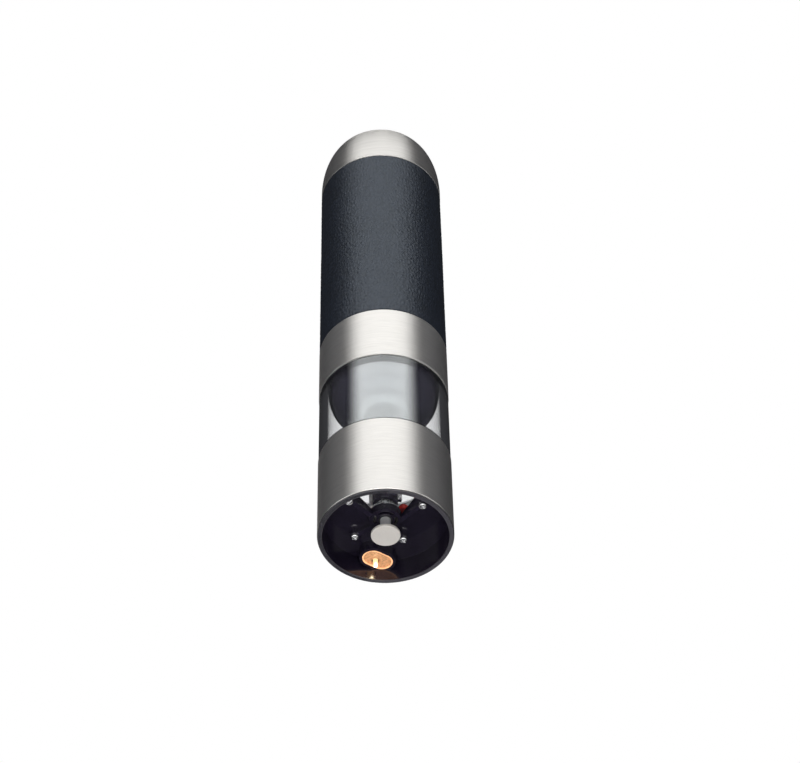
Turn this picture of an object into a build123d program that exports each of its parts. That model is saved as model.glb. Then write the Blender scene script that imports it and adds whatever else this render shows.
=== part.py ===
from build123d import *
import os
from math import acos, atan2, copysign, cos, degrees, hypot, pi, radians, sin, sqrt, tan

# Battery pepper mill. Millimetres, +Z up, origin at the centre of the rim it stands on.
# The lamp is on the +Y side of the base.

# Overall sizes
body_radius = 26.0
base_height = 38.4
window_height = 36.0
ring_height = 26.2
grip_height = 100.2
cap_wall_height = 3.5
cap_shoulder_width = 12.0
cap_shoulder_height = 26.0

# Clearances
slip_gap = 0.05
pull_gap = 0.3
running_gap = 0.06
face_gap = 0.1
edge_round = 0.2

# Base sleeve, base cup and clear chamber
sleeve_wall = 0.6
sleeve_lift = 0.6
rim_overhang = 0.4
cup_wall = 2.05
recess_wall = 1.25
cup_floor_low = 10.4
cup_floor_thickness = 2.0
cup_top_drop = 0.5
sight_start = -172.0
sight_stop = -6.0
sight_inner = 5.9
sight_outer = 15.8
sight_edges = ((-133.5, -2.73), (-70.6, 5.4))
chamber_wall = 2.7
chamber_floor_thickness = 2.0
window_step = 0.2
window_wall = 3.4
spigot_height = 7.0
throat_half_height = 2.0
seal_thickness = 0.4

# Grinder
screw_spots = ((12.0, 46.0), (14.3, 136.0), (17.9, 210.5), (16.7, 318.0))
arm_roots = (46.0, 136.0, 199.0, 346.0)
arm_width = 2.0
arm_pad_radius = 1.8
arm_thickness = 1.8
bracket_low = 9.0
bracket_wall = 0.5
bracket_ledge = 0.9
bracket_ledge_thickness = 0.9
hub_wall = 0.8
hub_height = 1.2
spoke_width = 1.2
screw_head_radius = 1.7
screw_head_height = 1.3
screw_shank_radius = 1.1
screw_slot_width = 0.5
screw_slot_length = 2.2
screw_dome = 0.8
burr_ring_radius = 5.6
burr_ring_height = 4.3
burr_mouth_radius = 4.9
burr_throat_radius = 4.3
burr_cone_top = 3.2
burr_cone_gap = 0.45
burr_cone_height = 4.0
burr_land = 0.6
ring_grooves = 16
cone_grooves = 10
groove_width = 0.6
groove_depth = 0.35
groove_slant = 12.0
groove_set = 0.3

# Drive shaft, agitator and adjuster knob
shaft_side = 3.2
shaft_top = 66.0
journal_radius = 1.3
journal_room = 1.0
shaft_chamfer = 0.6
bush_wall = 0.6
knob_radius = 5.6
knob_low = 0.9
knob_thickness = 1.2
knob_web = 0.7
stem_radius = 2.05
stem_top = 10.45
agitator_radius = 4.9
agitator_skirt_low = 18.0
agitator_body_low = 21.0
agitator_top = 30.0
agitator_skirt_wall = 1.4
agitator_fins = 3
fin_reach = 1.5
fin_width = 1.4
fin_drop = 1.0
burr_spring_wall = 0.7

# Lamp
lamp_offset_in = 5.2
lamp_twist = 24.0
lamp_straight = 2.0
lamp_half_width = 4.25
lamp_face = 5.6
lamp_boss_wall = 1.1
lamp_pocket_depth = 1.4
reflector_wall = 0.5
bulb_radius = 1.0
bulb_low = 3.4
bulb_length = 6.2
bulb_left = 0.55
bulb_out = 1.5
bulb_room = 0.5
socket_radius = 2.2
strip_width = 2.0
strip_thickness = 0.3
strip_offset = 1.6

# Power core housing and gears
housing_wall = 1.45
bowl_gap = 1.0
bowl_wall = 2.0
bowl_centre_lift = 1.6
web_low_lift = 7.6
web_thickness = 2.0
boss_radius = 8.2
boss_height = 8.0
boss_lip = 1.0
shaft_bush_wall = 1.7
output_radius = 5.0
output_overhang = 1.0
bush_recess = 0.6
socket_side = 3.5
socket_room = 1.5
gear_module = 0.7
sun_teeth = 12
planet_teeth = 18
ring_teeth = 48
planet_count = 3
pressure_angle = 20.0
addendum_share = 0.8
root_share = 1.1
backlash = 0.08
flank_steps = 4
gear_gap = 0.3
planet_height = 5.4
carrier_thickness = 2.2
carrier_margin = 3.6
pin_radius = 1.5

# Motor
plate_thickness = 1.6
motor_radius = 13.9
motor_wall = 3.0
motor_length = 31.0
motor_cap_height = 3.5
motor_cap_inset = 0.4
motor_cap_round = 0.8
motor_can_round = 1.5
motor_pilot_radius = 2.5
motor_shaft_radius = 1.0
bearing_web = 0.6
terminal_height = 2.9
terminal_room = 0.6
terminal_width = 2.4
terminal_thickness = 0.5
terminal_offset = 6.0
core_screw_angles = (30.0, 150.0, 270.0)
core_screw_radius = 0.7
core_screw_head = 1.3
core_screw_head_height = 1.0
core_screw_slot = 0.4
core_screw_slot_depth = 0.5
core_screw_hole_depth = 10.0
core_screw_end_room = 1.0

# Batteries and switch
cell_diameter = 14.5
cell_length = 50.5
nub_radius = 2.7
nub_height = 1.3
spine_thickness = 1.3
cell_gap = 0.3
cell_round = 0.6
contact_thickness = 0.4
contact_width = 7.0
spring_height = 3.1
spring_radius = 3.6
spring_wire = 1.0
tray_plate = 1.6
tray_radius_in = 0.4
leg_radius = 1.6
foot_height = 1.4
board_radius = 15.0
board_thickness = 1.4
switch_side = 6.2
switch_height = 3.6
plunger_radius = 1.6
plunger_height = 3.0
plunger_lift = 2.0
stem_room = 0.4
lead_radius = 0.45
lead_bend = 1.4
lead_landing = 13.5
contact_pin_radius = 0.6
contact_pin_rise = 1.6

# Handle, cap and button
leather_thickness = 1.15
leather_round = 0.5
tube_wall = 2.1
handle_spigot = 7.4
cap_shell = 0.8
insert_flange = 1.6
guide_radius = 5.6
guide_height = 13.2
button_radius = 10.0
button_crown_radius = 60.0
button_rise = 1.5
button_thickness = 4.2
button_stem_radius = 3.0
button_spring_wall = 1.6
clip_wall = 1.8
clip_thickness = 1.0
clip_drop = 0.6
button_travel = 2.0

# Heights that follow
base_top = base_height
ring_bottom = base_top + window_height
window_top = ring_bottom - seal_thickness
ring_top = ring_bottom + ring_height
grip_top = ring_top + grip_height
cap_shoulder_low = grip_top + cap_wall_height
cap_top = cap_shoulder_low + cap_shoulder_height
cup_floor_top = cup_floor_low + cup_floor_thickness
chamber_floor_top = cup_floor_top + chamber_floor_thickness
spigot_top = window_top + spigot_height
bowl_centre = ring_bottom + bowl_centre_lift
web_low = ring_bottom + web_low_lift

# Radii that follow
sleeve_inner = body_radius - sleeve_wall
cup_outer = sleeve_inner - slip_gap
cup_inner = cup_outer - cup_wall
recess_radius = cup_outer - recess_wall
rim_radius = cup_outer + rim_overhang
chamber_low_outer = cup_inner - face_gap
chamber_low_inner = chamber_low_outer - chamber_wall
window_outer = body_radius - window_step
window_inner = window_outer - window_wall
housing_inner = cup_outer - housing_wall
spigot_outer = housing_inner - pull_gap
bowl_radius = window_inner - bowl_gap
bowl_inner = bowl_radius - bowl_wall
tube_outer = body_radius - leather_thickness - slip_gap
tube_inner = tube_outer - tube_wall
lead_circle = bowl_radius + lead_radius + slip_gap
core_screw_circle = bowl_radius - bowl_wall / 2
lamp_offset = recess_radius - lamp_offset_in
bulb_x = -bulb_left
bulb_y = lamp_offset + bulb_out

# Grinder levels that follow
burr_seat = burr_ring_radius + face_gap
bracket_outer = burr_seat + bracket_wall
ledge_inner = burr_seat - bracket_ledge
ledge_top = bracket_low + bracket_ledge_thickness
burr_ring_top = ledge_top + burr_ring_height
bush_inner = stem_radius + running_gap
hub_inner = bush_inner + bush_wall
hub_outer = hub_inner + hub_wall
cone_low = stem_top + face_gap
cone_top = cone_low + burr_cone_height
agitator_bore = agitator_radius - agitator_skirt_wall

# Gear levels that follow
gear_case_low = bowl_centre + 2 * face_gap
carrier2_low = gear_case_low + gear_gap
carrier2_top = carrier2_low + carrier_thickness
planets2_low = carrier2_top + gear_gap
planets2_top = planets2_low + planet_height
carrier1_low = planets2_top + 2 * gear_gap
carrier1_top = carrier1_low + carrier_thickness
planets1_low = carrier1_top + gear_gap
planets1_top = planets1_low + planet_height
housing_top = planets1_top + 2 * gear_gap
gear_case_top = housing_top - face_gap
gear_case_radius = bowl_inner - face_gap
gear_distance = gear_module * (sun_teeth + planet_teeth) / 2
carrier_radius = gear_distance + carrier_margin
output_low = bowl_centre - bowl_radius - output_overhang
socket_top = shaft_top + socket_room
bush_low = output_low + bush_recess

# Motor, battery and switch levels that follow
motor_low = housing_top + plate_thickness
motor_top = motor_low + motor_length
motor_cap_top = motor_top + motor_cap_height
terminal_top = motor_cap_top + terminal_height
tray_low = terminal_top + terminal_room
tray_floor = tray_low + tray_plate
contact_low_top = tray_floor + contact_thickness
cell_centre = cell_diameter / 2 + spine_thickness / 2 + cell_gap
contact_high = contact_low_top + spring_height + cell_length + 2 * face_gap
tray_roof = contact_high + contact_thickness
tray_top = tray_roof + tray_plate
tray_radius = bowl_radius - tray_radius_in
board_top = tray_top + board_thickness
switch_top = board_top + switch_height
plunger_top = switch_top + plunger_lift
lead_high = board_top + 2 * lead_bend

# Button levels that follow
insert_top = grip_top + insert_flange
guide_top = insert_top + guide_height
button_top = cap_top + button_rise
button_low = button_top - button_thickness
stem_low = plunger_top + stem_room
clip_top = grip_top - clip_drop

BASE = (Align.CENTER, Align.CENTER, Align.MIN)


def rod(radius, low, high, x=0, y=0):
    """Upright cylinder between two heights."""
    return Pos(x, y, low) * Cylinder(radius, high - low, align=BASE)


def tube(outer, inner, low, high, x=0, y=0):
    """Upright tube between two heights."""
    return rod(outer, low, high, x, y) - rod(inner, low, high, x, y)


def bar(width, depth, low, high, x=0, y=0):
    """Upright square bar between two heights."""
    return Pos(x, y, low) * Box(width, depth, high - low, align=BASE)


def turned(*corners):
    """Solid of revolution from (radius, height) corners."""
    return revolve(Plane.XZ * make_face(Polyline(*corners, close=True)), Axis.Z)


def polar(radius, angle):
    """Point at a radius and an angle in degrees."""
    return radius * cos(radians(angle)), radius * sin(radians(angle))


def around(shape, angle):
    """The shape turned about the mill's axis."""
    return Rot(0, 0, angle) * shape


def soften(shape, size, *rings):
    """Round the circular edges at the given (radius, height) rings."""
    picked = [
        edge
        for edge in shape.edges().filter_by(GeomType.CIRCLE)
        if any(abs(edge.radius - r) < 0.01 and abs(edge.center().Z - z) < 0.01 for r, z in rings)
    ]
    return fillet(picked, size)


def sector(inner, outer, start, stop, low, high):
    """Block between two radii and two angles."""
    middle = (start + stop) / 2
    outline = [
        Line(polar(inner, start), polar(outer, start)),
        ThreePointArc(polar(outer, start), polar(outer, middle), polar(outer, stop)),
        Line(polar(outer, stop), polar(inner, stop)),
        ThreePointArc(polar(inner, stop), polar(inner, middle), polar(inner, start)),
    ]
    return Pos(0, 0, low) * extrude(make_face(outline), high - low, dir=(0, 0, 1))


def lamp_oval(half_width, low, high):
    """Oval block of the lamp pocket, its long side turned from the tangent."""
    oval = SlotCenterToCenter(2 * lamp_straight, 2 * half_width)
    return Pos(0, lamp_offset, low) * around(extrude(oval, high - low, dir=(0, 0, 1)), lamp_twist)


def base_sleeve():
    """Brushed steel skin of the base."""
    sleeve = tube(body_radius, sleeve_inner, sleeve_lift, base_top)
    return soften(sleeve, edge_round, (body_radius, sleeve_lift), (body_radius, base_top))


def sight_opening(low, high):
    """Opening in front of the burr ring: a sector cut back to two straight edges."""
    opening = sector(sight_inner, sight_outer, sight_start, sight_stop, low, high)
    for heading, offset in sight_edges:
        beyond = offset + copysign(sight_outer, offset)
        opening -= around(bar(4 * sight_outer, 2 * sight_outer, low, high, 0, beyond), heading)
    return opening


def base_cup():
    """Black cup: the rim, the wall, the floor above the recess and the lamp pocket."""
    floor_hole = bracket_outer + face_gap
    cup = turned(
        (recess_radius, 0),
        (rim_radius, 0),
        (rim_radius, sleeve_lift - slip_gap),
        (cup_outer, sleeve_lift - slip_gap),
        (cup_outer, base_top - cup_top_drop),
        (cup_inner, base_top - cup_top_drop),
        (cup_inner, cup_floor_top),
        (floor_hole, cup_floor_top),
        (floor_hole, cup_floor_low),
        (recess_radius, cup_floor_low),
    )
    cup = soften(cup, edge_round, (recess_radius, 0), (rim_radius, 0))
    cup += lamp_oval(lamp_half_width + lamp_boss_wall, lamp_face, cup_floor_top)
    cup -= lamp_oval(lamp_half_width, lamp_face, lamp_face + lamp_pocket_depth)
    cup -= rod(socket_radius + slip_gap, lamp_face, cup_floor_top, bulb_x, bulb_y)
    cup -= sight_opening(cup_floor_low, cup_floor_top)
    for radius, angle in screw_spots:
        x, y = polar(radius, angle)
        cup -= rod(screw_shank_radius + slip_gap, cup_floor_low, cup_floor_top, x, y)
    return cup


def strip_plane(inner):
    """Depth of a flat strip's outer face against a round wall."""
    edge = strip_offset + strip_width / 2
    return sqrt(inner**2 - edge**2) - face_gap


def chamber():
    """Clear pepper chamber: wall in the base, window and top spigot."""
    clear = turned(
        (chamber_low_inner, cup_floor_top),
        (chamber_low_outer, cup_floor_top),
        (chamber_low_outer, base_top),
        (window_outer, base_top),
        (window_outer, window_top),
        (spigot_outer, window_top),
        (spigot_outer, spigot_top),
        (window_inner, spigot_top),
        (window_inner, base_top + throat_half_height),
        (chamber_low_inner, base_top - throat_half_height),
    )
    return soften(clear, edge_round, (window_outer, base_top), (window_outer, window_top))


def chamber_floor():
    """Clear plate on the cup's floor, open round the burrs and notched for the lamp strips."""
    plate = tube(chamber_low_inner - slip_gap, burr_ring_radius + face_gap, cup_floor_top, chamber_floor_top)
    notch = bar(strip_width + 2 * face_gap, chamber_wall, cup_floor_top, chamber_floor_top)
    inner = strip_plane(chamber_low_inner) - strip_thickness - face_gap
    for x in (-strip_offset, strip_offset):
        plate -= Pos(x, inner + chamber_wall / 2, 0) * notch
    return plate


def chamber_seal():
    """Flat rubber seal between the window and the ring."""
    return tube(cup_outer, spigot_outer + face_gap, window_top, ring_bottom)


def grinder_bracket():
    """Black spider that holds the burr ring and the spindle bush under the floor."""
    bracket = turned(
        (ledge_inner, bracket_low),
        (bracket_outer, bracket_low),
        (bracket_outer, cup_floor_top - face_gap),
        (burr_seat, cup_floor_top - face_gap),
        (burr_seat, ledge_top),
        (ledge_inner, ledge_top),
    )
    bracket += tube(hub_outer, hub_inner, bracket_low, bracket_low + hub_height)
    spoke_start = (hub_inner + hub_outer) / 2
    spoke_stop = (ledge_inner + burr_seat) / 2
    spoke_length = spoke_stop - spoke_start
    arm_start = (burr_seat + bracket_outer) / 2
    arm_low = cup_floor_low - arm_thickness
    for (reach, angle), root_angle in zip(screw_spots, arm_roots):
        spoke = bar(spoke_length, spoke_width, bracket_low, ledge_top, spoke_start + spoke_length / 2)
        root_x, root_y = polar(arm_start, root_angle)
        tip_x, tip_y = polar(reach, angle)
        heading = degrees(atan2(tip_y - root_y, tip_x - root_x))
        arm_length = hypot(tip_x - root_x, tip_y - root_y)
        arm = bar(arm_length + arm_width, arm_width, arm_low, cup_floor_low, (arm_length - arm_width) / 2)
        arm += rod(arm_pad_radius, arm_low, cup_floor_low, arm_length)
        arm -= rod(screw_shank_radius + slip_gap, arm_low, cup_floor_low, arm_length)
        arm = Pos(root_x, root_y, 0) * around(arm, heading)
        arm -= rod(burr_seat + bracket_wall / 2, arm_low, cup_floor_low)
        bracket += around(spoke, angle)
        bracket += arm
    return bracket


def bracket_screws():
    """Four round-headed screws through the bracket arms."""
    head_top = cup_floor_low - arm_thickness
    head_low = head_top - screw_head_height
    screws = []
    for radius, angle in screw_spots:
        screw = soften(
            rod(screw_head_radius, head_low, head_top),
            screw_dome,
            (screw_head_radius, head_low),
        )
        for turn in (0, 90):
            slot = bar(screw_slot_length, screw_slot_width, head_low, head_low + screw_head_height / 2)
            screw -= around(slot, turn + angle)
        screw += rod(screw_shank_radius, head_top, cup_floor_top - face_gap)
        screws.append(Pos(*polar(radius, angle), 0) * screw)
    return Compound(screws)


def burr_ring():
    """Fixed ceramic burr: a ring with a grooved cone that narrows downwards."""
    ring = turned(
        (burr_throat_radius + groove_depth, ledge_top),
        (burr_ring_radius, ledge_top),
        (burr_ring_radius, burr_ring_top),
        (burr_mouth_radius, burr_ring_top),
        (burr_throat_radius, cone_low),
    )
    rise = burr_ring_top - cone_low
    slope = acos(rise / sqrt(rise**2 + (burr_mouth_radius - burr_throat_radius) ** 2)) * 180 / pi
    groove = Box(2 * groove_depth, groove_width, 2 * burr_ring_height)
    middle = (burr_mouth_radius + burr_throat_radius) / 2
    groove = Pos(middle, 0, (burr_ring_top + cone_low) / 2) * (Rot(0, slope, 0) * groove)
    for index in range(ring_grooves):
        ring -= around(groove, 360 * index / ring_grooves)
    return ring


def spindle_bush():
    """Bronze bush in the bracket hub."""
    return tube(hub_inner - slip_gap, bush_inner, bracket_low, bracket_low + hub_height)


def lamp_reflector():
    """Pale oval cup behind the lamp."""
    outer = lamp_half_width - slip_gap
    top = lamp_face + lamp_pocket_depth - slip_gap
    cup = lamp_oval(outer, lamp_face + face_gap, top)
    cup -= lamp_oval(outer - reflector_wall, lamp_face + face_gap, top - reflector_wall)
    cup -= rod(bulb_radius + bulb_room, lamp_face, top, bulb_x, bulb_y)
    return cup


def lamp_bulb():
    """Small glass bulb with a round end."""
    bulb = rod(bulb_radius, bulb_low + bulb_radius, bulb_low + bulb_length)
    bulb += Pos(0, 0, bulb_low + bulb_radius) * Sphere(bulb_radius)
    return Pos(bulb_x, bulb_y, 0) * bulb


def lamp_socket():
    """Round socket that holds the bulb in the cup floor."""
    low = lamp_face + lamp_pocket_depth
    socket = rod(socket_radius, low, cup_floor_top - face_gap)
    socket -= rod(bulb_radius + slip_gap, low, bulb_low + bulb_length + face_gap)
    return Pos(bulb_x, bulb_y, 0) * socket


def lamp_strips():
    """Two thin brass strips up the chamber wall to the lamp contacts."""
    low = strip_plane(chamber_low_inner)
    high = strip_plane(window_inner)
    bend = throat_half_height + face_gap
    outline = [
        (low, cup_floor_top),
        (low, base_top - bend),
        (high, base_top + bend),
        (high, spigot_top - face_gap),
        (high - strip_thickness, spigot_top - face_gap),
        (high - strip_thickness, base_top + bend),
        (low - strip_thickness, base_top - bend),
        (low - strip_thickness, cup_floor_top),
    ]
    strip = extrude(Plane.YZ * make_face(Polyline(*outline, close=True)), strip_width / 2, both=True)
    return Compound([Pos(x, 0, 0) * strip for x in (-strip_offset, strip_offset)])


def drive_shaft():
    """Square steel shaft with a round journal at its lower end."""
    shaft = bar(shaft_side, shaft_side, stem_top, shaft_top)
    shaft += rod(journal_radius, knob_low + knob_thickness + journal_room, stem_top + journal_room)
    return chamfer(shaft.edges().group_by(Axis.Z)[-1], shaft_chamfer)


def agitator():
    """Black sleeve on the shaft, with fins that stir the peppercorns."""
    sleeve = rod(agitator_radius, agitator_skirt_low, agitator_top)
    sleeve -= rod(agitator_bore, agitator_skirt_low, agitator_body_low)
    for index in range(agitator_fins):
        reach = agitator_radius + fin_reach
        fin = bar(reach, fin_width, agitator_body_low, agitator_top - fin_drop, reach / 2)
        sleeve += around(fin, 360 * index / agitator_fins)
    hole = shaft_side + 2 * slip_gap
    return sleeve - bar(hole, hole, agitator_skirt_low, agitator_top)


def burr_spring():
    """Spring between the burr cone and the agitator, as its outer shape."""
    outer = agitator_bore - pull_gap
    return tube(outer, outer - burr_spring_wall, cone_top, agitator_body_low)


def burr_cone():
    """Turning ceramic burr with slanted grooves."""
    bottom = burr_throat_radius - burr_cone_gap
    cone = turned(
        (0, cone_low),
        (bottom, cone_low),
        (bottom, cone_low + burr_land),
        (burr_cone_top, cone_top),
        (0, cone_top),
    )
    slope = acos(burr_cone_height / sqrt(burr_cone_height**2 + (bottom - burr_cone_top) ** 2)) * 180 / pi
    groove = Rot(groove_slant, -slope, 0) * Box(2 * groove_depth, groove_width, 3 * burr_cone_height)
    groove = Pos((bottom + burr_cone_top) / 2 + groove_set, 0, (cone_low + cone_top) / 2) * groove
    for index in range(cone_grooves):
        cone -= around(groove, 360 * index / cone_grooves)
    hole = shaft_side + 2 * running_gap
    return cone - bar(hole, hole, cone_low, cone_top)


def adjuster_knob():
    """Silver adjuster disc on its hollow stem."""
    disc_top = knob_low + knob_thickness
    bore = journal_radius + running_gap
    knob = turned(
        (0, knob_low),
        (knob_radius, knob_low),
        (knob_radius, disc_top),
        (stem_radius, disc_top),
        (stem_radius, stem_top),
        (bore, stem_top),
        (bore, disc_top + knob_web),
        (0, disc_top + knob_web),
    )
    return soften(knob, edge_round, (knob_radius, knob_low), (knob_radius, disc_top))


def ring_band():
    """Brushed steel ring above the window."""
    band = tube(body_radius, sleeve_inner, ring_bottom, ring_top)
    return soften(band, edge_round, (body_radius, ring_bottom), (body_radius, ring_top))


def bowl_shell():
    """Round bowl that hangs in the window, with a straight wall above it."""
    slant = sqrt(0.5)
    outline = [
        ThreePointArc(
            (0, bowl_centre - bowl_radius),
            (slant * bowl_radius, bowl_centre - slant * bowl_radius),
            (bowl_radius, bowl_centre),
        ),
        Line((bowl_radius, bowl_centre), (bowl_radius, housing_top)),
        Line((bowl_radius, housing_top), (bowl_inner, housing_top)),
        Line((bowl_inner, housing_top), (bowl_inner, bowl_centre)),
        ThreePointArc(
            (bowl_inner, bowl_centre),
            (slant * bowl_inner, bowl_centre - slant * bowl_inner),
            (0, bowl_centre - bowl_inner),
        ),
        Line((0, bowl_centre - bowl_inner), (0, bowl_centre - bowl_radius)),
    ]
    return revolve(Plane.XZ * make_face(outline), Axis.Z)


def core_housing():
    """Black housing: outer wall in the ring, web, bowl and the boss of the output shaft."""
    bush_seat = output_radius + shaft_bush_wall + slip_gap
    boss_top = bush_low + boss_height
    boss = turned(
        (bush_seat, bush_low),
        (boss_radius, bush_low),
        (boss_radius, boss_top),
        (output_radius + pull_gap, boss_top),
        (output_radius + pull_gap, boss_top - boss_lip),
        (bush_seat, boss_top - boss_lip),
    )
    housing = bowl_shell() - rod((bush_seat + boss_radius) / 2, output_low, boss_top)
    housing += boss
    housing += tube(bowl_radius + bowl_gap, bowl_radius - bowl_wall / 2, web_low, web_low + web_thickness)
    housing += turned(
        (bowl_radius, web_low),
        (housing_inner, web_low),
        (housing_inner, ring_bottom),
        (cup_outer, ring_bottom),
        (cup_outer, ring_top),
        (housing_inner, ring_top),
        (housing_inner, web_low + web_thickness),
        (bowl_radius, web_low + web_thickness),
    )
    y = strip_plane(window_inner) - strip_thickness / 2
    for x in (-strip_offset, strip_offset):
        housing -= rod(contact_pin_radius + slip_gap, web_low, web_low + web_thickness, x, y)
    for angle in core_screw_angles:
        x, y = polar(core_screw_circle, angle)
        housing -= rod(core_screw_radius, motor_low - core_screw_hole_depth, housing_top, x, y)
    return housing


def shaft_bush():
    """Bronze bush for the output shaft at the bottom of the bowl."""
    outer = output_radius + shaft_bush_wall
    return tube(outer, output_radius + running_gap, bush_low, bush_low + boss_height - boss_lip)


def tooth_half_angle(radius, pitch, thickness):
    """Half of an involute tooth's angle at a radius, in radians."""
    base = pitch * cos(radians(pressure_angle))
    at_pitch = acos(base / pitch)
    here = acos(base / max(radius, base))
    return thickness / (2 * pitch) + (tan(at_pitch) - at_pitch) - (tan(here) - here)


def gear_face(teeth, tip, root, thickness, phase=0.0):
    """Face of a toothed wheel; phase is the angle of its first tooth."""
    pitch = gear_module * teeth / 2
    radii = [root + (tip - root) * step / flank_steps for step in range(flank_steps + 1)]
    points = []
    for tooth in range(teeth):
        middle = radians(phase + 360 * tooth / teeth)
        rising = [(r, middle - tooth_half_angle(r, pitch, thickness)) for r in radii]
        falling = [(r, middle + tooth_half_angle(r, pitch, thickness)) for r in reversed(radii)]
        points += [(r * cos(a), r * sin(a)) for r, a in rising + falling]
    return make_face(Polyline(*points, close=True))


def gear(teeth, low, high, phase=0.0):
    """Spur gear with thinned teeth, so that it runs with play."""
    pitch = gear_module * teeth / 2
    face = gear_face(
        teeth,
        pitch + addendum_share * gear_module,
        pitch - root_share * gear_module,
        pi * gear_module / 2 - backlash,
        phase,
    )
    return Pos(0, 0, low) * extrude(face, high - low, dir=(0, 0, 1))


def gear_case():
    """Fixed case with the ring gear's teeth inside."""
    pitch = gear_module * ring_teeth / 2
    space = gear_face(
        ring_teeth,
        pitch + root_share * gear_module,
        pitch - addendum_share * gear_module,
        pi * gear_module / 2 + backlash,
        180 / ring_teeth,
    )
    cut = Pos(0, 0, gear_case_low) * extrude(space, gear_case_top - gear_case_low, dir=(0, 0, 1))
    return rod(gear_case_radius, gear_case_low, gear_case_top) - cut


def planet_places():
    """Angles of the planets round their carrier."""
    return [360 * index / planet_count for index in range(planet_count)]


def planet(angle, low, high):
    """One planet gear, in mesh with its sun and the ring."""
    phase = angle + 180 - 180 / planet_teeth
    wheel = gear(planet_teeth, low, high, phase) - rod(pin_radius + running_gap, low, high)
    return Pos(*polar(gear_distance, angle), 0) * wheel


def carrier(low, high, pins_top):
    """Round planet carrier with its three pins."""
    plate = rod(carrier_radius, low, high)
    for angle in planet_places():
        plate += rod(pin_radius, high, pins_top, *polar(gear_distance, angle))
    return plate


def output_carrier():
    """Lower carrier with the output shaft and its square socket."""
    part = carrier(carrier2_low, carrier2_top, planets2_top) + rod(output_radius, output_low, carrier2_low)
    return part - bar(socket_side, socket_side, output_low, socket_top)


def first_carrier():
    """Upper carrier with the second sun gear below it."""
    return carrier(carrier1_low, carrier1_top, planets1_top) + gear(sun_teeth, planets2_low, carrier1_low)


def motor_pinion():
    """First sun gear, on the motor shaft."""
    return gear(sun_teeth, planets1_low, planets1_top) - rod(motor_shaft_radius, planets1_low, planets1_top)


def motor_shaft():
    """Motor shaft from the pinion to the far bearing."""
    return rod(motor_shaft_radius, planets1_low, motor_cap_top - bearing_web - 2 * face_gap)


def motor_plate():
    """Steel plate that closes the gear case and carries the motor."""
    plate = rod(bowl_radius - face_gap, housing_top, motor_low) - rod(motor_pilot_radius, housing_top, motor_low)
    for angle in core_screw_angles:
        plate -= rod(core_screw_radius + slip_gap, housing_top, motor_low, *polar(core_screw_circle, angle))
    return plate


def motor_can():
    """Motor can, closed at the gear end."""
    can = rod(motor_radius, motor_low, motor_top)
    can -= rod(motor_radius - motor_wall, motor_low + motor_wall, motor_top)
    can = soften(can, motor_can_round, (motor_radius, motor_low))
    return can - rod(motor_shaft_radius + running_gap, motor_low, motor_top)


def motor_end_cap():
    """Black end cap of the motor, with the far bearing."""
    radius = motor_radius - motor_cap_inset
    cap = rod(radius, motor_top, motor_cap_top)
    cap -= rod(motor_shaft_radius + running_gap, motor_top, motor_cap_top - bearing_web)
    return soften(cap, motor_cap_round, (radius, motor_cap_top))


def motor_terminals():
    """Two brass tabs on the motor's end cap."""
    tabs = [
        bar(terminal_thickness, terminal_width, motor_cap_top, terminal_top, side * terminal_offset)
        for side in (-1, 1)
    ]
    return Compound(tabs)


def core_screws():
    """Three screws that clamp the tray's feet and the plate to the housing."""
    head_low = motor_low + foot_height
    head_top = head_low + core_screw_head_height
    screws = []
    for angle in core_screw_angles:
        end = motor_low - core_screw_hole_depth + core_screw_end_room
        screw = rod(core_screw_radius - slip_gap, end, head_low)
        screw += rod(core_screw_head, head_low, head_top)
        screw -= bar(2 * core_screw_head, core_screw_slot, head_top - core_screw_slot_depth, head_top)
        screws.append(Pos(*polar(core_screw_circle, angle), 0) * screw)
    return Compound(screws)


def cell_places():
    """Corners of the square of cells: x, y and whether the plus end is up."""
    return [(cell_centre * a, cell_centre * b, a == b) for a in (-1, 1) for b in (-1, 1)]


def battery_tray():
    """Black tray: floor, roof, cross-shaped spine and three legs on the motor plate."""
    tray = rod(tray_radius, tray_low, tray_floor) + rod(tray_radius, tray_roof, tray_top)
    length = 2 * cell_centre + cell_diameter
    tray += bar(spine_thickness, length, tray_floor, tray_roof)
    tray += bar(length, spine_thickness, contact_low_top + face_gap, contact_high - face_gap)
    leg_circle = core_screw_circle - leg_radius - core_screw_head - face_gap
    for angle in core_screw_angles:
        leg = rod(leg_radius, motor_low, tray_low, leg_circle)
        foot_top = motor_low + foot_height
        foot_middle = (leg_circle + core_screw_circle) / 2
        foot = bar(core_screw_circle - leg_circle, 2 * leg_radius, motor_low, foot_top, foot_middle)
        foot += rod(leg_radius, motor_low, foot_top, core_screw_circle)
        leg += foot - rod(core_screw_radius, motor_low, foot_top, core_screw_circle)
        tray += around(leg, angle)
    return tray


def battery_cells():
    """Four round cells, turned end for end in pairs."""
    cells = []
    for x, y, up in cell_places():
        body = cell_length - nub_height
        cell = rod(cell_diameter / 2, 0, body)
        cell = soften(cell, cell_round, (cell_diameter / 2, 0), (cell_diameter / 2, body))
        cell += rod(nub_radius, body, cell_length)
        if up:
            cells.append(Pos(x, y, contact_high - face_gap - cell_length) * cell)
        else:
            cells.append(Pos(x, y, contact_low_top + face_gap + cell_length) * (Rot(180, 0, 0) * cell))
    return Compound(cells)


def battery_springs():
    """Springs at the minus ends of the cells, as their outer shapes."""
    springs = []
    for x, y, up in cell_places():
        low = contact_low_top if up else contact_high - spring_height
        springs.append(tube(spring_radius, spring_radius - spring_wire, low, low + spring_height, x, y))
    return Compound(springs)


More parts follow.
